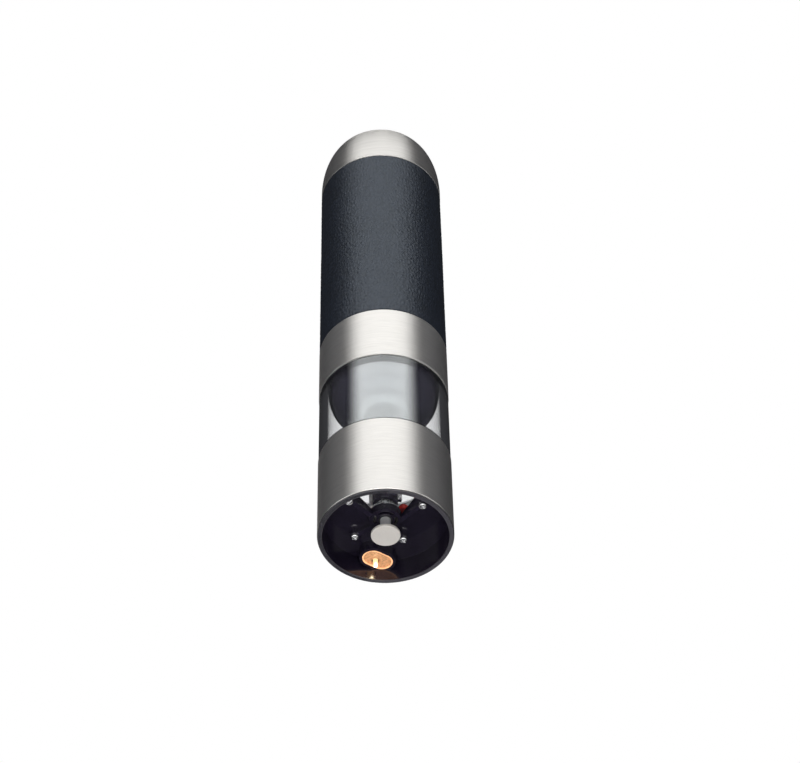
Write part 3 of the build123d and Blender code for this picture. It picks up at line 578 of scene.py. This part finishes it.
class MILL_OT_window(bpy.types.Operator):
    """Thick clear pepper window that lets the light in, with the faint waviness of a moulding."""

    bl_idname = "mill.window"
    bl_label = "Clear window"

    def execute(self, context):
        look = context.scene.mill_plastics
        material, tree, shader = shader_of("clear_window")
        point = spot(tree)
        wave = cloud(tree, point, 70.0, 2.0)
        haze = cloud(tree, point, 900.0, 4.0)
        sleeve_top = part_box("base_sleeve")[1].z
        height = axes_of(tree, point)["Z"]
        # Painted shadow: the window's colour turns dark in a band where it meets the top of the base
        # sleeve
        joint = between(tree, height, 0.0, 1.0, sleeve_top - 1.0 * MM, sleeve_top + 1.5 * MM)
        shadow, clear = (0.02, 0.02, 0.024), tuple(look.clear)
        tint = ramp(tree, joint, [(0.36, clear), (0.40, shadow), (0.60, shadow), (0.70, clear)])
        settle(shader, Transmission_Weight=1.0, IOR=1.49, Specular_Tint=(0.92, 0.985, 1.0, 1.0))
        feed(tree, shader, Base_Color=tint)
        feed(tree, shader, Roughness=between(tree, haze, 0.0, 0.03, 0.45, 0.9))
        feed(tree, shader, Normal=relief(tree, wave, 0.000012, soft_edge(tree, 0.0003)))
        dress(material, *CLEAR_NODES)
        for name in CLEAR_NODES:
            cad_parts[name].visible_shadow = False
        return {"FINISHED"}


class MILL_OT_lamp(bpy.types.Operator):
    """Lit bulb in its warm reflector, whose glow and bright lip are painted light."""

    bl_idname = "mill.lamp"
    bl_label = "Lamp"

    def execute(self, context):
        look = context.scene.mill_lamp
        bulb, tree, shader = shader_of("lit_bulb")
        point = spot(tree)
        heat = cloud(tree, point, 500.0, 2.0)
        low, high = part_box("lamp_bulb")
        middle = (low + high) / 2
        parts = axes_of(tree, point)
        tip = between(tree, parts["Z"], 1.0, 0.0, low.z + 0.3 * MM, low.z + 2.6 * MM)
        beside = math_node(tree, "ABSOLUTE", math_node(tree, "SUBTRACT", parts["X"], middle.x))
        core = between(tree, beside, 1.0, 0.0, 0.10 * MM, 0.70 * MM)
        narrow = math_node(tree, "POWER", core, 2.0)
        heart = math_node(tree, "MULTIPLY", math_node(tree, "POWER", tip, 4.0), narrow)
        glow, glass = tuple(look.glow), tuple(look.glass)
        feed(tree, shader, Base_Color=ramp(tree, heat, [(0.3, tone(glow, 0.94)), (0.7, glow)]))
        feed(tree, shader, Roughness=between(tree, heat, 0.10, 0.22))
        feed(tree, shader, Emission_Color=ramp(tree, heart, [(0.0, glass), (0.2, glow)]))
        feed(tree, shader, Emission_Strength=between(tree, heart, 0.9, look.bulb_power, 0.0, 1.0))
        dress(bulb, "lamp_bulb")
        cup, tree, shader = shader_of("lamp_reflector")
        point = spot(tree)
        flake = cloud(tree, point, 1100.0, 4.0)
        warm = tone(look.pocket, 0.8)
        feed(tree, shader, Base_Color=ramp(tree, flake, [(0.36, tone(warm, 0.62)), (0.62, warm)]))
        feed(tree, shader, Roughness=between(tree, flake, 0.24, 0.38))
        feed(tree, shader, Normal=relief(tree, flake, 0.00001, soft_edge(tree, 0.0002)))
        settle(shader, Emission_Color=(*look.pocket, 1.0))
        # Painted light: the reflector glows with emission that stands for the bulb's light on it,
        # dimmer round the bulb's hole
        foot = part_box("lamp_reflector")[0].z
        height = axes_of(tree, point)["Z"]
        power = look.painted_pocket_glow
        # Painted highlight: the glow is five times stronger along the reflector's lower lip
        painted_lip_highlight = between(tree, height, 5.0 * power, power, foot + 0.1 * MM, foot + 0.5 * MM)
        patch = between(tree, cloud(tree, point, 620.0, 3.0), 0.62, 1.15)
        sockets = {0: point, 1: tuple(middle)}
        away = add(tree, "ShaderNodeVectorMath", sockets, operation="SUBTRACT").outputs[0]
        hole = between(tree, from_axis(tree, away), 0.12, 1.0, 1.2 * MM, 2.2 * MM)
        painted_glow = math_node(tree, "MULTIPLY", math_node(tree, "MULTIPLY", painted_lip_highlight, patch), hole)
        feed(tree, shader, Emission_Strength=painted_glow)
        dress(cup, "lamp_reflector")
        return {"FINISHED"}


class MILL_OT_cells(bpy.types.Operator):
    """Plain jackets, coloured bands and bare ends of the four cells."""

    bl_idname = "mill.cells"
    bl_label = "Cells"

    def execute(self, context):
        look = context.scene.mill_plastics
        low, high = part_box("battery_cells")
        material, tree, shader = shader_of("cell_jackets")
        point = spot(tree)
        parts = axes_of(tree, point)
        height = between(tree, parts["Z"], 0.0, 1.0, low.z, high.z)
        product = math_node(tree, "MULTIPLY", parts["X"], parts["Y"])
        plus_up = math_node(tree, "GREATER_THAN", product, 0.0)
        flipped = math_node(tree, "SUBTRACT", 1.0, height)
        climb = math_node(tree, "MULTIPLY", height, plus_up)
        drop = math_node(tree, "MULTIPLY", flipped, math_node(tree, "SUBTRACT", 1.0, plus_up))
        along = math_node(tree, "ADD", climb, drop)
        starts = (0.0, 0.022, 0.70, 0.945)
        bare = tuple(context.scene.mill_metals.bright)
        coats = (bare, tuple(look.jacket), tuple(look.band), bare)
        painted = ramp(tree, along, list(zip(starts, coats)))
        painted.node.color_ramp.interpolation = "CONSTANT"
        shares = ((1.0,) * 3, (0.0,) * 3, (0.7,) * 3, (1.0,) * 3)
        metal = ramp(tree, along, list(zip(starts, shares)))
        metal.node.color_ramp.interpolation = "CONSTANT"
        skin = cloud(tree, point, 800.0, 4.0)
        feed(tree, shader, Base_Color=painted, Metallic=metal)
        feed(tree, shader, Roughness=between(tree, skin, 0.20, 0.34))
        feed(tree, shader, Normal=relief(tree, skin, 0.00001, soft_edge(tree, 0.0003)))
        dress(material, "battery_cells")
        return {"FINISHED"}


class MILL_OT_grip(bpy.types.Operator):
    """Pebbled leather sleeve with turned edges and a butt seam at the back."""

    bl_idname = "mill.grip"
    bl_label = "Leather grip"

    def pebbles(self, look, across, up):
        """Height from 0 to 1 of the pebbles at points in pebble widths, closed round the sleeve."""
        columns = int(round(across.max() + across[0, 1] - across[0, 0]))
        rows = int(math.ceil(up.max())) + 3
        draw = np.random.default_rng(look.seed)
        wander, lowest, crease, drop, far = 0.84, 0.72, 0.75, 0.35, 9.0
        jitter = wander * (draw.random((rows, columns, 2)) - 0.5) + 0.5
        lift = lowest + (1.0 - lowest) * draw.random((rows, columns))
        near = np.full(across.shape, far)
        next_near = np.full(across.shape, far)
        crown = np.zeros(across.shape)
        i, j = np.floor(up).astype(int), np.floor(across).astype(int)
        for di in (-1, 0, 1):
            for dj in (-1, 0, 1):
                row, column = np.clip(i + di, -1, rows - 2) + 1, (j + dj) % columns
                x = j + dj + jitter[row, column, 0] - across
                y = i + di + jitter[row, column, 1] - up
                away = np.sqrt(x * x + y * y)
                closer = away < near
                next_near = np.where(closer, near, np.minimum(next_near, away))
                crown = np.where(closer, lift[row, column], crown)
                near = np.where(closer, away, near)
        groove = np.clip((next_near - near) / crease, 0.0, 1.0)
        dome = 1.0 - drop * np.clip(near, 0.0, 1.0) ** 2
        return groove * groove * (3.0 - 2.0 * groove) * dome * crown

    def hide(self, look):
        """Dark hide, paler on its pebbles, with pores."""
        material, tree, shader = shader_of("pebbled_leather")
        point = spot(tree)
        blotch = cloud(tree, point, 55.0, 3.0)
        pore = cloud(tree, point, 2600.0, 5.0, 0.62)
        tall = stretched(tree, point, (1.0, 1.0, 1.0 / look.stretch))
        sockets = {"Vector": tall, "Scale": 1.0 / look.pebble}
        cells = add(tree, "ShaderNodeTexVoronoi", sockets).outputs["Distance"]
        blotched = math_node(tree, "MULTIPLY_ADD", blotch, 0.5, 0.5)
        mixed = math_node(tree, "MULTIPLY_ADD", cells, -0.55, blotched)
        stops = [(0.25, tuple(look.crease)), (0.62, tuple(look.hide)), (0.9, tone(look.hide, 1.25))]
        feed(tree, shader, Base_Color=ramp(tree, mixed, stops))
        feed(tree, shader, Roughness=between(tree, pore, 0.40, 0.54))
        grain = relief(tree, math_node(tree, "SUBTRACT", 1.0, cells), look.relief * 0.7)
        feed(tree, shader, Normal=relief(tree, pore, 0.00004, grain))
        settle(shader, IOR=1.47, Specular_Tint=(0.72, 0.85, 1.0, 1.0))
        return material

    def execute(self, context):
        look = context.scene.mill_grip
        low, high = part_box("grip_leather")
        outer = high.x
        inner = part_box("handle_tube")[1].x + 0.05 * MM
        columns, rows = look.steps_round, look.steps_up
        turn = np.linspace(0.0, FULL_TURN, columns, endpoint=False)
        roll = look.roll
        bend = np.linspace(0.0, 0.5 * math.pi, 7)[:-1]
        skin_z = np.linspace(low.z + roll, high.z - roll, rows)
        lower = [(outer - roll + roll * math.sin(t), low.z + roll - roll * math.cos(t)) for t in bend]
        upper = [(r, low.z + high.z - z) for r, z in reversed(lower)]
        profile = [(inner, low.z)] + lower + [(outer, z) for z in skin_z] + upper + [(inner, high.z)]
        radius = np.array([p[0] for p in profile])
        height = np.array([p[1] for p in profile])
        around = round(FULL_TURN * outer / look.pebble)
        across = np.tile(turn / FULL_TURN * around, (len(profile), 1))
        up = np.tile(((height - low.z) / (look.pebble * look.stretch))[:, None], (1, columns))
        lift = self.pebbles(look, across, up) - 1.0
        slow = np.sin(3.0 * turn[None, :] + height[:, None] * 61.0)
        slow += np.sin(5.0 * turn[None, :] - height[:, None] * 97.0)
        skin = np.clip((radius - outer + roll) / roll, 0.0, 1.0)[:, None]
        gap = np.abs((turn[None, :] - 0.5 * math.pi) * outer) / look.seam
        seam = np.clip(1.0 - gap, 0.0, 1.0) ** 1.3
        shoulder = np.exp(-((gap - 2.2) ** 2))
        wave, bead = 0.03 * MM, 0.08 * MM
        shift = look.relief * lift - look.seam_depth * seam + wave * slow + bead * shoulder
        full = radius[:, None] + skin * shift
        x, y = full * np.cos(turn)[None, :], full * np.sin(turn)[None, :]
        z = np.tile(height[:, None], (1, columns))
        points = np.stack([x, y, z], axis=2).reshape(-1, 3)
        faces = grid_faces(len(profile), columns, wrap_rows=True)
        sleeve = piece("grip_sleeve", points, faces, self.hide(look), "handle")
        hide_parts("grip_leather")
        return {"FINISHED"}


class MILL_OT_springs(bpy.types.Operator):
    """Coil springs of the cells, the button and the burr."""

    bl_idname = "mill.springs"
    bl_label = "Coil springs"

    def execute(self, context):
        look = context.scene.mill_springs
        wire_steel = plated("spring_steel", tuple(context.scene.mill_metals.bright), 0.22)
        points, faces = [], []
        low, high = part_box("battery_springs")
        cells_low, cells_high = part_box("battery_cells")
        wide, slim, turns = 3.5 * MM, 2.0 * MM, 3.6
        for a in (-1, 1):
            for b in (-1, 1):
                upward = a == b
                start, end = (low.z, cells_low.z) if upward else (cells_high.z, high.z)
                sizes = (wide, slim) if upward else (slim, wide)
                centre = (a * CELL_PLACE, b * CELL_PLACE)
                path = spring_path(centre, start, end, *sizes, turns, look.cell_wire)
                verts, quads = coil_mesh(path, look.cell_wire)
                faces += [tuple(k + len(points) for k in f) for f in quads]
                points += [tuple(v) for v in verts]
        made = piece("cell_springs", points, faces, wire_steel, "power_unit")
        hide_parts("battery_springs")
        for name, node, body, joint, turns, wire in (
            ("button_coil", "button_spring", "handle", "button_press", 7.5, look.button_wire),
            ("burr_coil", "burr_spring", "spindle", "burr_lift", 4.5, look.burr_wire),
        ):
            low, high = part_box(node)
            mean = high.x - wire / 2
            path = spring_path((0.0, 0.0), low.z, high.z, mean, mean, turns, wire)
            verts, quads = coil_mesh(path, wire)
            made = piece(name, verts, quads, wire_steel, body)
            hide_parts(node)
            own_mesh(made)
        return {"FINISHED"}


class MILL_OT_pepper(bpy.types.Operator):
    """A few dried red peppercorns that lie on the chamber's floor, clear of the agitator."""

    bl_idname = "mill.pepper"
    bl_label = "Peppercorns"

    # Where each corn lies, in millimetres from the axis
    places = (
        (-13.0, -1.8), (12.2, -6.0), (-13.6, -9.4), (14.6, 6.2), (11.0, 12.2),
        (-3.6, 13.6), (-16.4, 4.0), (2.2, 17.4), (17.4, -1.2), (-10.6, 9.6),
        (12.4, -11.8), (-6.6, -16.2), (7.2, 0.5),
    )

    def skin(self, look):
        """Dry red skin, darker in its wrinkles."""
        material, tree, shader = shader_of("pepper_skin")
        point = spot(tree)
        wrinkle = cloud(tree, point, 750.0, 4.0, 0.6)
        speck = cloud(tree, point, 2600.0, 3.0)
        stops = [(0.34, tuple(look.shade)), (0.6, tuple(look.skin))]
        feed(tree, shader, Base_Color=ramp(tree, wrinkle, stops))
        feed(tree, shader, Roughness=between(tree, speck, 0.34, 0.55))
        feed(tree, shader, Normal=relief(tree, speck, 0.00004))
        settle(shader, Subsurface_Weight=0.08, Subsurface_Radius=(0.0012, 0.0003, 0.0002))
        return material

    def wrinkled(self, look, way, size, offset):
        """Radius of a corn along a way from its middle: ridges, broad dents and a stalk mark."""
        ridges, dents, stalk_rim = 3.4, 1.2, 0.93
        fold = 1.6 * look.wrinkle
        ridge = -abs(noise.noise(way * ridges + offset))
        dent = noise.noise(way * dents - offset)
        stalk = max(0.0, way.z - stalk_rim) * 2.2
        return size + fold * ridge + 0.1 * MM * dent - 1.0 * MM * stalk

    def execute(self, context):
        look = context.scene.mill_pepper
        draw = np.random.default_rng(look.seed)
        points, faces = [], []
        for x, y in self.places:
            size = look.radius * draw.uniform(0.92, 1.04)
            offset = Vector(draw.uniform(-9.0, 9.0, 3))
            turn = Matrix.Rotation(draw.uniform(0, 6.28), 3, "Z")
            turn = turn @ Matrix.Rotation(draw.uniform(0, 6.28), 3, "X")
            corn = bmesh.new()
            bmesh.ops.create_icosphere(corn, subdivisions=4, radius=1.0)
            spots = [turn @ v.co * self.wrinkled(look, v.co, size, offset) for v in corn.verts]
            lowest = min(p.z for p in spots)
            base = len(points)
            points += [(p.x + x * MM, p.y + y * MM, p.z - lowest + CHAMBER_FLOOR) for p in spots]
            faces += [tuple(base + v.index for v in f.verts) for f in corn.faces]
            corn.free()
        piece("peppercorns", points, faces, self.skin(look), "base")
        return {"FINISHED"}


class MILL_OT_stage(bpy.types.Operator):
    """Pale floor, soft light panels, white room and the camera."""

    bl_idname = "mill.stage"
    bl_label = "Stage"

    def camera(self, context, look):
        """The camera below the base, aimed a little aside and rolled."""
        ahead = Vector((0.0, math.cos(look.elevation), math.sin(look.elevation)))
        place = -look.distance * ahead
        right = Vector((1.0, 0.0, 0.0))
        up = right.cross(ahead)
        swing = Matrix.Rotation(look.yaw, 3, up)
        ahead, right = swing @ ahead, swing @ right
        tilt = Matrix.Rotation(look.pitch, 3, right)
        ahead, up = tilt @ ahead, tilt @ up
        lean = Matrix.Rotation(look.roll, 3, ahead)
        right, up = lean @ right, lean @ up
        data = bpy.data.cameras.new("photo_camera")
        data.sensor_fit = "HORIZONTAL"
        data.sensor_width = SENSOR
        data.lens = look.focal / IMAGE_WIDTH * SENSOR
        data.clip_start, data.clip_end = 0.01, 50.0
        made = bpy.data.objects.new("photo_camera", data)
        context.scene.collection.objects.link(made)
        axes = Matrix((right, up, -ahead)).transposed().to_4x4()
        made.matrix_world = Matrix.Rotation(look.azimuth, 4, "Z") @ Matrix.Translation(place) @ axes
        context.scene.camera = made

    def panel(self, name, azimuths, elevations, power, fade=0.0):
        """A curved light panel that the camera doesn't see, with soft ends that many degrees wide."""
        columns, rows, reach, centre = 28, 8, 1.6, 0.12
        points = []
        for i in range(rows):
            rise = math.radians(elevations[0] + (elevations[1] - elevations[0]) * i / (rows - 1))
            flat, height = reach * math.cos(rise), centre + reach * math.sin(rise)
            for j in range(columns):
                turn = math.radians(azimuths[0] + (azimuths[1] - azimuths[0]) * j / (columns - 1))
                points.append((flat * math.sin(turn), -flat * math.cos(turn), height))
        faces = []
        for i in range(rows - 1):
            for j in range(columns - 1):
                k = i * columns + j
                faces.append((k, k + 1, k + columns + 1, k + columns))
        material = bpy.data.materials.new(name)
        tree = bare_tree(material)
        sockets = {"Color": (1.0, 0.995, 0.985, 1.0), "Strength": power}
        glow = add(tree, "ShaderNodeEmission", sockets)
        if fade:
            parts = axes_of(tree, spot(tree))
            forward = math_node(tree, "MULTIPLY", parts["Y"], -1.0)
            turn = math_node(tree, "ARCTAN2", parts["X"], forward)
            left, right, width = [math.radians(a) for a in (*azimuths, fade)]
            start = add(tree, "ShaderNodeMapRange", {0: turn, 1: left, 2: left + width})
            stop = add(tree, "ShaderNodeMapRange", {0: turn, 1: right, 2: right - width})
            start.interpolation_type = stop.interpolation_type = "SMOOTHSTEP"
            soft = math_node(tree, "MULTIPLY", start.outputs[0], stop.outputs[0])
            tree.links.new(math_node(tree, "MULTIPLY", soft, power), glow.inputs["Strength"])
        add(tree, "ShaderNodeOutputMaterial", {"Surface": glow.outputs[0]})
        made = placed(name, points, faces, material)
        made.visible_camera = False

    def ground(self, look):
        """Floor that shows from above and lets the low camera see through it."""
        material = bpy.data.materials.new("pale_floor")
        tree = bare_tree(material)
        tint = (*look.floor, 1.0)
        matte = add(tree, "ShaderNodeBsdfDiffuse", {"Color": tint})
        glow = add(tree, "ShaderNodeEmission", {"Color": tint, "Strength": look.floor_light})
        pale = add(tree, "ShaderNodeAddShader", {0: matte.outputs[0], 1: glow.outputs[0]})
        through = add(tree, "ShaderNodeBsdfTransparent")
        under = add(tree, "ShaderNodeNewGeometry").outputs["Backfacing"]
        both = add(tree, "ShaderNodeMixShader", {0: under, 1: pale.outputs[0], 2: through.outputs[0]})
        add(tree, "ShaderNodeOutputMaterial", {"Surface": both.outputs[0]})
        side = 6.0
        corners = [(-side, -side, 0), (side, -side, 0), (side, side, 0), (-side, side, 0)]
        made = placed("floor", corners, [(0, 1, 2, 3)], material)
        made.visible_shadow = False
        made.visible_diffuse = False
        made.visible_glossy = False
        made.visible_transmission = False

    def room(self, context, look):
        """White behind the mill, and a darker room with a bright ceiling in its reflections."""
        world = bpy.data.worlds.new("studio")
        context.scene.world = world
        tree = bare_tree(world)
        way = add(tree, "ShaderNodeTexCoord").outputs["Generated"]
        ahead = (math.sin(look.azimuth), -math.cos(look.azimuth), -0.4)
        facing = add(tree, "ShaderNodeVectorMath", {0: way, 1: ahead}, operation="DOT_PRODUCT")
        level = between(tree, facing.outputs["Value"], 0.0, 1.0, -1.0, 1.0)
        grey = [(0.0, 0.03), (0.25, 0.05), (0.5, 0.11), (0.75, 0.20), (1.0, 0.22)]
        shade = ramp(tree, level, [(at, (v * 0.98, v * 0.985, v * 1.07)) for at, v in grey])
        walls = add(tree, "ShaderNodeBackground", {"Color": shade, "Strength": look.room})
        white = add(tree, "ShaderNodeBackground", {"Color": (1, 1, 1, 1), "Strength": 1.0})
        rays = add(tree, "ShaderNodeLightPath").outputs
        turns = math_node(tree, "ADD", rays["Glossy Depth"], rays["Diffuse Depth"])
        straight = math_node(tree, "LESS_THAN", turns, 0.5)
        clear = math_node(tree, "MULTIPLY", rays["Is Transmission Ray"], straight)
        seen = math_node(tree, "MAXIMUM", rays["Is Camera Ray"], clear)
        both = add(tree, "ShaderNodeMixShader", {0: seen, 1: walls.outputs[0], 2: white.outputs[0]})
        add(tree, "ShaderNodeOutputWorld", {"Surface": both.outputs[0]})

    def execute(self, context):
        look = context.scene.mill_stage
        self.camera(context, look)
        self.panel("front_panel", (-81.0, 58.0), (38.0, 54.0), look.front, 36.0)
        self.panel("middle_panel", (-81.0, 58.0), (4.0, 38.0), look.mid, 36.0)
        self.panel("ceiling_panel", (-42.0, 23.0), (58.0, 88.0), look.ceiling, 14.0)
        self.panel("low_front_panel", (-50.0, 35.0), (-30.0, -7.0), look.low)
        self.panel("base_panel", (-70.0, 50.0), (-78.0, -44.0), look.base_light, 30.0)
        self.panel("edge_panel", (-130.0, 110.0), (-64.0, -42.0), look.edge_light, 20.0)
        self.panel("low_back_panel", (135.0, 225.0), (-30.0, -7.0), look.low)
        self.ground(look)
        self.room(context, look)
        context.scene.view_settings.view_transform = "Standard"
        return {"FINISHED"}


class MILL_PT_looks(bpy.types.Panel):
    """Lists the mill's pieces and what can be changed."""

    bl_idname = "MILL_PT_looks"
    bl_label = "Pepper mill"
    bl_space_type = "VIEW_3D"
    bl_region_type = "UI"
    bl_category = "Pepper mill"

    def draw(self, context):
        for operator in OPERATORS:
            self.layout.operator(operator.bl_idname)
        for name, group in GROUPS.items():
            box = self.layout.box()
            box.label(text=group.__doc__)
            values = getattr(context.scene, name)
            for key in group.__annotations__:
                box.prop(values, key)


GROUPS = {
    "mill_metals": MillMetals,
    "mill_plastics": MillPlastics,
    "mill_lamp": MillLamp,
    "mill_grip": MillGrip,
    "mill_springs": MillSprings,
    "mill_pepper": MillPepper,
    "mill_stage": MillStage,
}
OPERATORS = (
    MILL_OT_metals,
    MILL_OT_plastics,
    MILL_OT_window,
    MILL_OT_lamp,
    MILL_OT_cells,
    MILL_OT_grip,
    MILL_OT_springs,
    MILL_OT_pepper,
    MILL_OT_stage,
)


def register():
    """Adds the groups of settings, the operators and the panel."""
    for made in (*GROUPS.values(), *OPERATORS, MILL_PT_looks):
        bpy.utils.register_class(made)
    for name, group in GROUPS.items():
        setattr(bpy.types.Scene, name, PointerProperty(type=group))


def unregister():
    """Takes them all away again."""
    for name in GROUPS:
        delattr(bpy.types.Scene, name)
    for made in reversed((*GROUPS.values(), *OPERATORS, MILL_PT_looks)):
        bpy.utils.unregister_class(made)


def main():
    """Makes every piece and the stage."""
    register()
    bpy.ops.mill.metals()
    bpy.ops.mill.plastics()
    bpy.ops.mill.window()
    bpy.ops.mill.lamp()
    bpy.ops.mill.cells()
    bpy.ops.mill.grip()
    bpy.ops.mill.springs()
    bpy.ops.mill.pepper()
    bpy.ops.mill.stage()


if __name__ == "__main__":
    main()
